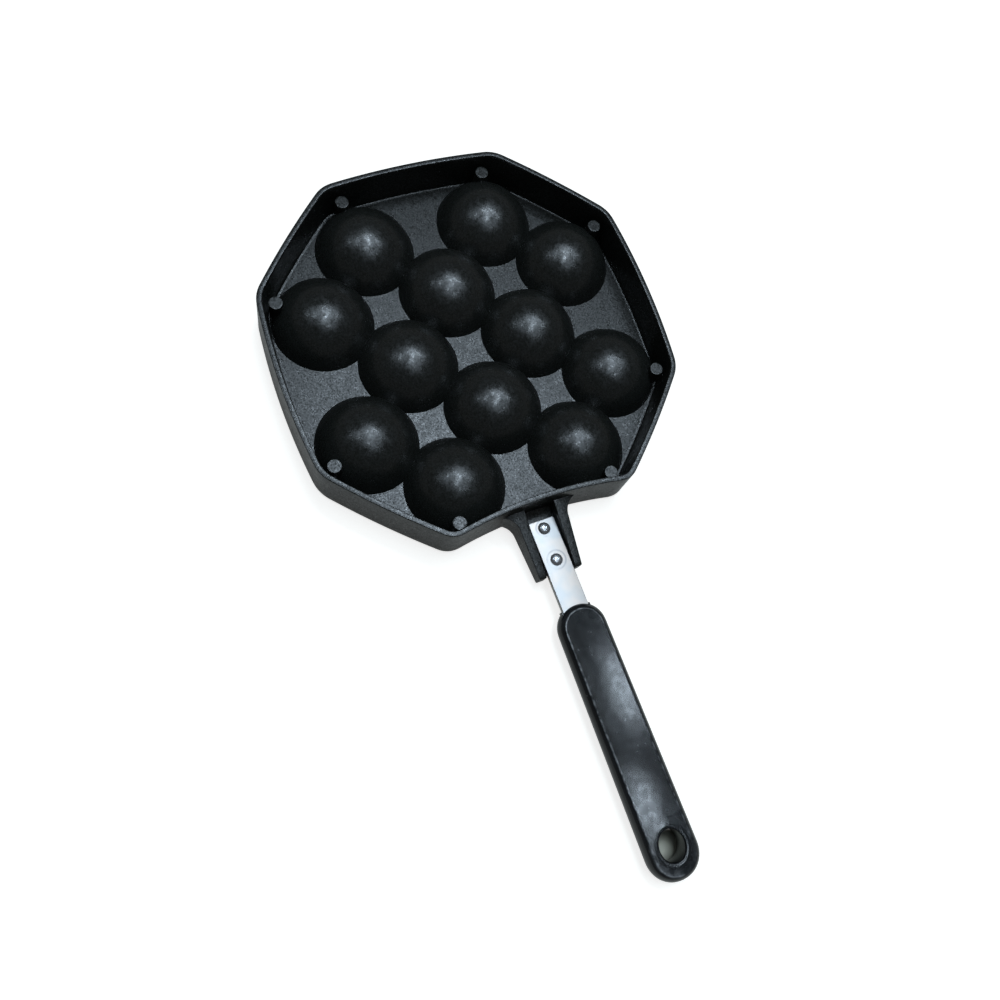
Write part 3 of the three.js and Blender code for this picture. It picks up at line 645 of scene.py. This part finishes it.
for part in (head_on, shank_on, tail_out):
    rivets.links.new(part.outputs[0], whole.inputs[0])
spot = node(rivets, "GeometryNodePoints", {"Count": 1}, Position=sizes["Place"])
placed = node(rivets, "GeometryNodeInstanceOnPoints", {}, Points=spot.outputs[0], Instance=whole.outputs[0])
real = node(rivets, "GeometryNodeRealizeInstances", {}, Geometry=placed.outputs[0])
smooth = node(rivets, "GeometryNodeSetShadeSmooth", {}, Geometry=real.outputs[0])
finished = node(rivets, "GeometryNodeSetMaterial", {"Material": bright}, Geometry=smooth.outputs[0])
node(rivets, "NodeGroupOutput", {}, Geometry=finished.outputs[0])

RIVET_SIZES = {"Head Radius": 2.85, "Head Height": 1.3, "Shank Radius": 1.8, "Head Base": STRAP_TOP,
               "Tail Base": COOKING_Z}
for number, x in enumerate(RIVET_X, 1):
    blank = bpy.data.objects.new("blank", bpy.data.meshes.new("blank"))
    bpy.context.scene.collection.objects.link(blank)
    modifier = blank.modifiers.new("rivet", "NODES")
    modifier.node_group = rivets
    values = {key: size / 1000 for key, size in RIVET_SIZES.items()}
    values["Place"] = ((x - MIDDLE_X) / 1000, 0, 0)
    for socket in face.items_tree:
        if socket.in_out == "INPUT":
            modifier[socket.identifier] = values[socket.name]
    evaluated = blank.evaluated_get(bpy.context.evaluated_depsgraph_get())
    rivet = bpy.data.objects.new(f"rivet_head_{number}", bpy.data.meshes.new_from_object(evaluated))
    bpy.data.objects.remove(blank)
    bpy.context.scene.collection.objects.link(rivet)
    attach(rivet, "root")
    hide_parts(f"rivet_{number}")

# The grip: phenolic resin, moulded over the strap's tang. Its broad face shrank a little uneven in the mould.
# It has a crisp edge all round, a hole to hang it by and a slight lip round the hole.
GRIP_START = STRAP_START + 40.6
FRONT_RADIUS, END_RADIUS = 11.45, 12.15
SQUARENESS = 2.1  # 2 is a round end, more is squarer
FRONT_DEPTH, END_DEPTH = 9.6, 11.6
FACE_Z = 12.3
FACE_INSET = 2.8
FACE_CROWN = 0.05
UPPER_ROUND, LOWER_ROUND = 4.2, 4.4  # how far in from the outline the two skins curve
HOLE_X = GRIP_END - 15.1
HOLE_LENGTH, HOLE_WIDTH = 14.0, 11.8
HOLE_LIP = 0.022
HOLE_SINK = 0.35  # rounding of the hole's edge
HOLE_WAIST = 0.45  # how much narrower the hole is halfway through
CHEEKS = (6.3, 7.0)  # the walls of the socket beside the strap, from the middle outwards


def grip_outline(inset, steps=30, side_steps=44):
    """Points round the grip, drawn in by inset."""
    points = []
    power = 2 / SQUARENESS
    far, near = (GRIP_END - END_RADIUS, END_RADIUS - inset), (GRIP_START + FRONT_RADIUS, FRONT_RADIUS - inset)
    for turn, (centre, radius), (other, other_radius) in ((1, far, near), (-1, near, far)):
        for i in range(steps + 1):
            angle = -math.pi / 2 + math.pi * i / steps
            c, s = math.cos(angle), math.sin(angle)
            points.append((centre + turn * radius * abs(c) ** power,
                           turn * radius * math.copysign(abs(s) ** power, s)))
        for i in range(1, side_steps):
            t = i / side_steps
            points.append((centre + (other - centre) * t, turn * (radius * (1 - t) + other_radius * t)))
    return np.array(points)


def half_width(x):
    """The grip's half width at x, and how far along it x is, as a share."""
    along = np.clip((x - GRIP_START) / (GRIP_END - GRIP_START), 0, 1)
    return FRONT_RADIUS + (END_RADIUS - FRONT_RADIUS) * along, along


def inset_of(plan):
    """How far plan points are in from the grip's outline."""
    width, _ = half_width(plan[:, 0])
    past = np.maximum(GRIP_START + width - plan[:, 0], plan[:, 0] - GRIP_END + width)
    return width - np.hypot(np.clip(past, 0, None), plan[:, 1])


def grip_height(plan, inset, upper):
    """Height of the grip's upper or lower skin where it is inset from the outline."""
    _, along = half_width(plan[:, 0])
    depth = FRONT_DEPTH + (END_DEPTH - FRONT_DEPTH) * along
    middle = FACE_Z - 0.45 * depth
    reach = UPPER_ROUND if upper else LOWER_ROUND
    bulge = np.sqrt(np.clip(1 - (1 - np.minimum(inset, reach) / reach) ** 2, 0, 1))
    if not upper:
        return middle - (depth + middle - FACE_Z) * bulge
    edge = math.sqrt(1 - (1 - FACE_INSET / reach) ** 2)
    crown = FACE_CROWN * np.clip((inset - FACE_INSET) / 8.8, 0, 1) ** 0.8
    return middle + (FACE_Z - FACE_CROWN - middle) * np.minimum(bulge / edge, 1) + crown


HOLE_STEPS = 56
turns = np.arange(HOLE_STEPS) * 2 * math.pi / HOLE_STEPS


def hole_ring(grow):
    """Points round the hang hole, grown by this much."""
    long_way, short_way = HOLE_LENGTH / 2 + grow, HOLE_WIDTH / 2 + grow
    return np.stack([HOLE_X + long_way * np.cos(turns), short_way * np.sin(turns)], 1)


grid = np.stack(np.meshgrid(np.arange(GRIP_START, GRIP_END, 2.0), np.arange(-9, 9.1, 2.0)), -1).reshape(-1, 2)
hole_reach = np.hypot((grid[:, 0] - HOLE_X) / (HOLE_LENGTH / 2 + 3), grid[:, 1] / (HOLE_WIDTH / 2 + 3))
upper_insets = [0, 0.02, 0.08, 0.18, 0.32, 0.5, 0.75, 1.05, 1.4, 1.8, 2.3,
                FACE_INSET - 0.1, FACE_INSET, FACE_INSET + 0.15, FACE_INSET + 0.5]
lower_insets = [0, 0.02, 0.08, 0.2, 0.4, 0.7, 1.1, 1.6, 2.2, 2.9, 3.6, LOWER_ROUND]
rings = [hole_ring(grow) for grow in (0, 0.08, 0.2, 0.4, 0.65, 0.9, 1.15, 1.4, 1.7, 2.2)]
skins = []
for upper, insets in ((True, upper_insets), (False, lower_insets)):
    kept = [grip_outline(inset) for inset in insets]
    depths = [np.full(len(run), inset) for run, inset in zip(kept, insets)]
    middle_points = grid[(inset_of(grid) > insets[-1] + 0.8) & (hole_reach > 1)]
    for points in [middle_points] + rings:
        kept.append(points)
        depths.append(inset_of(points))
    plan, depths = np.concatenate(kept), np.concatenate(depths)
    height = grip_height(plan, depths, upper)
    grow = np.hypot((plan[:, 0] - HOLE_X) * HOLE_WIDTH / HOLE_LENGTH, plan[:, 1]) - HOLE_WIDTH / 2
    lip = np.clip(1 - np.abs(grow - 1.2) / 0.6, 0, 1)
    sunk = HOLE_SINK * np.clip(1 - grow / HOLE_SINK, 0, 1) ** 2
    height += (1 if upper else -1) * (HOLE_LIP * lip * lip * (3 - 2 * lip) - sunk) * (grow < 2.2)
    border_count = len(kept[0])
    edges = [(i, (i + 1) % border_count) for i in range(border_count)]
    for first in range(len(plan) - len(rings) * HOLE_STEPS, len(plan), HOLE_STEPS):
        edges += [(first + i, first + (i + 1) % HOLE_STEPS) for i in range(HOLE_STEPS)]
    found = delaunay_2d_cdt([Vector(p) for p in plan], edges, [], 1, 1e-6)
    order = [origin[0] for origin in found[3]]
    triangles = np.array([[order[i] for i in t] for t in found[2]])
    x, y = plan[triangles].mean(1).T
    solid = np.hypot((x - HOLE_X) / (HOLE_LENGTH / 2), y / (HOLE_WIDTH / 2)) >= 0.999
    skins.append((np.column_stack([plan, height]), triangles[solid], len(plan) - len(rings) * HOLE_STEPS))

(upper_skin, upper_faces, upper_hole), (lower_skin, lower_faces, lower_hole) = skins
grip_vertices = np.concatenate([upper_skin, lower_skin])
shift = len(upper_skin)
grip_faces = [list(f) for f in upper_faces] + [[shift + i for i in reversed(f)] for f in lower_faces]
waist = [np.column_stack([hole_ring(-HOLE_WAIST * math.cos(math.radians(80 * t))),
                          np.full(HOLE_STEPS, FACE_Z - 5.4 - 4.4 * t)])
         for t in (-0.9, -0.6, -0.3, -0.05, 0.05, 0.3, 0.6, 0.9)]
walls = [upper_hole] + [len(grip_vertices) + k * HOLE_STEPS for k in range(len(waist))] + [shift + lower_hole]
grip_vertices = np.concatenate([grip_vertices] + waist)
for a, b in zip(walls, walls[1:]):
    for i in range(HOLE_STEPS):
        following = (i + 1) % HOLE_STEPS
        grip_faces.append([a + following, a + i, b + i, b + following])

# Moulded phenolic resin: near black and a little cloudy. Its skin shows the eye the lamps as blurred patches.
# Its edges carry a painted highlight, grey and in stretches, where their rounding would catch the lamps,
# and a few pale knocks lie on the face, because it has seen use.
# The knocks and the specks are drawn coarser than real ones, which would vanish at this size of picture.
RESIN_CLOUD = 16.67
RESIN_SPECK = 0.5556
RESIN_SCUFF = 3.125
RESIN_WAVE = 14.29
moulded, tree = new_material("moulded_phenolic_resin")
where = node(tree, "ShaderNodeTexCoord").outputs["Object"]
cloud = node(tree, "ShaderNodeTexNoise", {"Scale": cells(RESIN_CLOUD), "Detail": 3.0, "Roughness": 0.55},
             Vector=where)
speck = node(tree, "ShaderNodeTexNoise", {"Scale": cells(RESIN_SPECK), "Detail": 2.0}, Vector=where)
tone = node(tree, "ShaderNodeValToRGB", {}, Fac=cloud.outputs["Fac"])
tone.color_ramp.elements[0].position, tone.color_ramp.elements[1].position = 0.35, 0.7
tone.color_ramp.elements[0].color = linear("#0b0d0e")
tone.color_ramp.elements[1].color = linear("#14181b")
# The painted edge highlight and the pale knocks both lighten the colour towards #8b8c8e.
edge_highlight = node(tree, "ShaderNodeAttribute", {"attribute_name": "painted_edge_highlight"})
scuffs = node(tree, "ShaderNodeTexNoise", {"Scale": cells(RESIN_SCUFF), "Detail": 3.0}, Vector=where)
patchy = node(tree, "ShaderNodeMapRange", {"From Min": 0.42, "From Max": 0.62, "To Min": 0.12, "To Max": 1.0},
              Value=scuffs.outputs["Fac"])
knocks = node(tree, "ShaderNodeMapRange", {"From Min": 0.68, "From Max": 0.78, "To Min": 0.0, "To Max": 0.35},
              Value=scuffs.outputs["Fac"])
pale_marks = node(tree, "ShaderNodeMath", {"operation": "MULTIPLY_ADD", "use_clamp": True}, i0=edge_highlight.outputs["Fac"],
            i1=patchy.outputs["Result"], i2=knocks.outputs["Result"])
colour = node(tree, "ShaderNodeMix", {"data_type": "RGBA", 7: linear("#8b8c8e")}, i0=pale_marks.outputs[0],
              i6=tone.outputs["Color"])
rough = node(tree, "ShaderNodeMapRange", {"From Min": 0.3, "From Max": 0.7, "To Min": 0.4, "To Max": 0.6},
             Value=cloud.outputs["Fac"])
waves = node(tree, "ShaderNodeTexNoise", {"Scale": cells(RESIN_WAVE), "Detail": 2.0}, Vector=where)
wavy = node(tree, "ShaderNodeBump", {"Strength": 0.3, "Distance": 0.00025}, Height=waves.outputs["Fac"])
skin = node(tree, "ShaderNodeBump", {"Strength": 0.08, "Distance": 0.00003}, Height=speck.outputs["Fac"],
            Normal=wavy.outputs["Normal"])
skin_dulled = node(tree, "ShaderNodeMapRange", {"From Min": 0.35, "From Max": 0.65, "To Min": 0.11,
                   "To Max": 0.15}, Value=scuffs.outputs["Fac"])
surface = node(tree, "ShaderNodeBsdfPrincipled", {"IOR": 1.5, "Specular IOR Level": 0.08, "Coat Weight": 1.0},
               Base_Color=colour.outputs[2], Roughness=rough.outputs["Result"], Normal=skin.outputs["Normal"],
               Coat_Roughness=skin_dulled.outputs["Result"], Coat_Normal=skin.outputs["Normal"])
node(tree, "ShaderNodeOutputMaterial", Surface=surface.outputs["BSDF"])

# The socket at the grip's front end: two cheeks and a sole of the same resin, moulded close round the strap.
grip_shell = [tuple(v) for v in grip_vertices]
inner, outer = CHEEKS
sole = STRAP_TOP - STRAP_THICKNESS - 0.3
for y0, y1, z1 in ((inner, outer, STRAP_TOP), (-outer, -inner, STRAP_TOP), (-outer, outer, sole)):
    cheek = [rounded_section(GRIP_START + x, y0 + d, y1 - d, STRAP_TOP - STRAP_THICKNESS - 1 + d, z1 - d, 0.2)
             for x, d in ((1.4, 0.2), (1.5, 0.05), (1.6, 0), (5, 0))]
    found, shell = lofted(cheek)
    grip_faces += [[i + len(grip_shell) for i in f] for f in shell]
    grip_shell += found
grip = mesh_object("moulded_grip", grip_shell, grip_faces, moulded)
# The painted highlight along the face's edge: a line at FACE_INSET, wider towards the far end, stronger
# towards -y.
points = np.array([v.co for v in grip.data.vertices]) * 1000 + [MIDDLE_X, 0, 0]
_, along = half_width(points[:, 0])
far_end = np.clip((along - 0.78) / 0.1, 0, 1)
line = np.clip(1.2 - np.abs(inset_of(points) - FACE_INSET) / (0.25 + 0.35 * far_end), 0, 1)
right = np.clip(0.5 - points[:, 1] / 6, 0, 1)
share = (1 - far_end) * (0.55 + 0.45 * right) + far_end * (0.15 + 0.75 * right)
pale_marks = line * (points[:, 2] > FACE_Z - 1.2) * share
grip.data.attributes.new("painted_edge_highlight", "FLOAT", "POINT").data.foreach_set("value", pale_marks)
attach(grip, "root")
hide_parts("grip")

# The photograph's camera: its place, turn and lens were solved from the outlines of cups, posts and rim.
camera = bpy.data.objects.new("camera", bpy.data.cameras.new("camera"))
bpy.context.scene.collection.objects.link(camera)
bpy.context.scene.camera = camera
camera.location = (0.063697, -0.109935, 0.359946)
camera.rotation_euler = (0.253083, -0.203106, 1.190986)
camera.data.lens = 29.6695
camera.data.sensor_width = 36
camera.data.shift_x = -0.020631
camera.data.shift_y = 0.020135
camera.data.clip_start = 0.01

# The table: a plain white top, wide enough for every view. It shows white and keeps the pan's faint shadow.
# Under the hang hole lies a painted shadow of the grip, a dull spot, because the photograph shows a dull
# grey-green through the hole.
TABLE_Z = -1.4
TABLE_REACH = 9000
UNDER_HOLE = (0.1592, 0.0025, TABLE_Z / 1000)
DEEPEST = (0.1592, -0.0015, TABLE_Z / 1000)
table_top, tree = new_material("white_table")
path = node(tree, "ShaderNodeLightPath")
spot = node(tree, "ShaderNodeTexCoord").outputs["Object"]
# Painted shadow: near UNDER_HOLE the white lift is taken away and the colour darkens towards DEEPEST.
under = node(tree, "ShaderNodeVectorMath", {"operation": "DISTANCE", 1: UNDER_HOLE}, i0=spot)
shade = node(tree, "ShaderNodeMapRange", {"From Min": 0.0055, "From Max": 0.0085, "To Min": 1.0,
             "To Max": 0.0}, Value=under.outputs["Value"])
centre = node(tree, "ShaderNodeVectorMath", {"operation": "LENGTH"}, i0=spot)
lit = node(tree, "ShaderNodeMapRange", {"From Min": 0.3, "From Max": 1.2, "To Min": 0.77, "To Max": 1.0},
           Value=centre.outputs["Value"])
seen = node(tree, "ShaderNodeMath", {"operation": "MULTIPLY"}, i0=path.outputs["Is Camera Ray"],
            i1=lit.outputs["Result"])
mirrored = node(tree, "ShaderNodeMath", {"operation": "MULTIPLY_ADD", 1: 0.12},
                i0=path.outputs["Is Glossy Ray"], i2=seen.outputs[0])
lift = node(tree, "ShaderNodeMath", {"operation": "SUBTRACT", "use_clamp": True}, i0=mirrored.outputs[0],
            i1=shade.outputs["Result"])
deeper = node(tree, "ShaderNodeVectorMath", {"operation": "DISTANCE", 1: DEEPEST}, i0=spot)
dusk = node(tree, "ShaderNodeMapRange", {"From Min": 0.002, "From Max": 0.0065},
            Value=deeper.outputs["Value"])
gloom = node(tree, "ShaderNodeMix", {"data_type": "RGBA", 6: linear("#b5b3a4"), 7: linear("#5b5a50")},
             i0=dusk.outputs["Result"])
top = node(tree, "ShaderNodeMix", {"data_type": "RGBA", 6: linear("#c4c1b8")}, i0=shade.outputs["Result"],
           i7=gloom.outputs[2])
paint = node(tree, "ShaderNodeBsdfDiffuse", {}, Color=top.outputs[2])
glow = node(tree, "ShaderNodeEmission", {"Color": (1, 1, 1, 1)}, Strength=lift.outputs[0])
both = node(tree, "ShaderNodeAddShader", {}, i0=paint.outputs[0], i1=glow.outputs[0])
node(tree, "ShaderNodeOutputMaterial", Surface=both.outputs[0])
corners = [(x * TABLE_REACH, y * TABLE_REACH, TABLE_Z) for x, y in ((-1, -1), (1, -1), (1, 1), (-1, 1))]
table = mesh_object("table", corners, [[0, 1, 2, 3]], table_top)

# The room: dim grey all round, a little brighter low down, and plain white to the camera beyond the table.
world = bpy.data.worlds.new("room")
bpy.context.scene.world = world
world.use_nodes = True
tree = world.node_tree
tree.nodes.clear()
direction = node(tree, "ShaderNodeTexCoord").outputs["Generated"]
height = node(tree, "ShaderNodeSeparateXYZ", {}, Vector=direction).outputs["Z"]
walls = node(tree, "ShaderNodeMapRange", {"interpolation_type": "SMOOTHSTEP", "From Min": -0.1,
             "From Max": 0.8, "To Min": 0.15, "To Max": 0.06}, Value=height)
seen = node(tree, "ShaderNodeLightPath").outputs["Is Camera Ray"]
bright_walls = node(tree, "ShaderNodeMath", {"operation": "MAXIMUM"}, i0=walls.outputs["Result"], i1=seen)
air = node(tree, "ShaderNodeBackground", {"Color": (1, 1, 1, 1)}, Strength=bright_walls.outputs[0])
node(tree, "ShaderNodeOutputWorld", Surface=air.outputs[0])

# The ceiling lamps: the tubes whose reflections the domes show, and two small patches that shine on the grip.
# They hang 1.8 m above the table, and their places and strengths follow the photograph's highlights.
LAMP_HEIGHT = 1.8
LAMP_RADIANCE = 30.0
LAMPS = [  # direction x, y of both ends from the pan's middle, width in metres, radiance share
    ("tube_back", (-0.425, 0.21), (0.02, 0.525), 0.09, 0.76),
    ("tube_front", (-0.385, 0.035), (-0.17, 0.23), 0.09, 1.12),
    ("tube_side", (-0.46, 0.15), (-0.445, 0.08), 0.09, 0.38),
    ("tube_middle", (-0.16, 0.215), (0.075, -0.035), 0.09, 1.15),
    ("tube_middle_end", (0.075, -0.035), (0.12, -0.09), 0.09, 0.35),
    ("tube_right", (0.04, 0.43), (0.075, 0.385), 0.07, 0.5),
    ("tube_far_right", (0.235, 0.165), (0.32, 0.04), 0.09, 0.5),
    ("tube_left", (-0.37, -0.12), (-0.18, -0.31), 0.09, 0.62),
    ("tube_low", (-0.46, -0.33), (-0.29, -0.50), 0.09, 0.3),
    ("patch_over_grip", (0.112, 0.337), (0.20, 0.314), 0.075, 0.54),
    ("patch_over_hole", (0.275, 0.270), (0.338, 0.259), 0.04, 0.85),
]


def on_ceiling(x, y):
    """The ceiling point that lies this way from the middle of the pan."""
    up = math.sqrt(1 - x * x - y * y)
    return Vector((x, y, up)) * (LAMP_HEIGHT / up) - Vector((MIDDLE_X / 1000, 0, 0))


for name, start, end, width, share in LAMPS:
    a, b = on_ceiling(*start), on_ceiling(*end)
    light = bpy.data.lights.new(name, "AREA")
    light.shape = "RECTANGLE"
    light.color = (0.84, 1.0, 1.15)
    light.size, light.size_y = (b - a).length, width
    light.energy = LAMP_RADIANCE * share * math.pi * light.size * light.size_y
    lamp = bpy.data.objects.new(name, light)
    along = (b - a).normalized()
    up = Vector((0, 0, 1))
    turn = Matrix((along, up.cross(along), up)).transposed().to_4x4()
    lamp.matrix_world = Matrix.Translation((a + b) / 2) @ turn
    bpy.context.scene.collection.objects.link(lamp)

bpy.context.scene.view_settings.view_transform = "Standard"
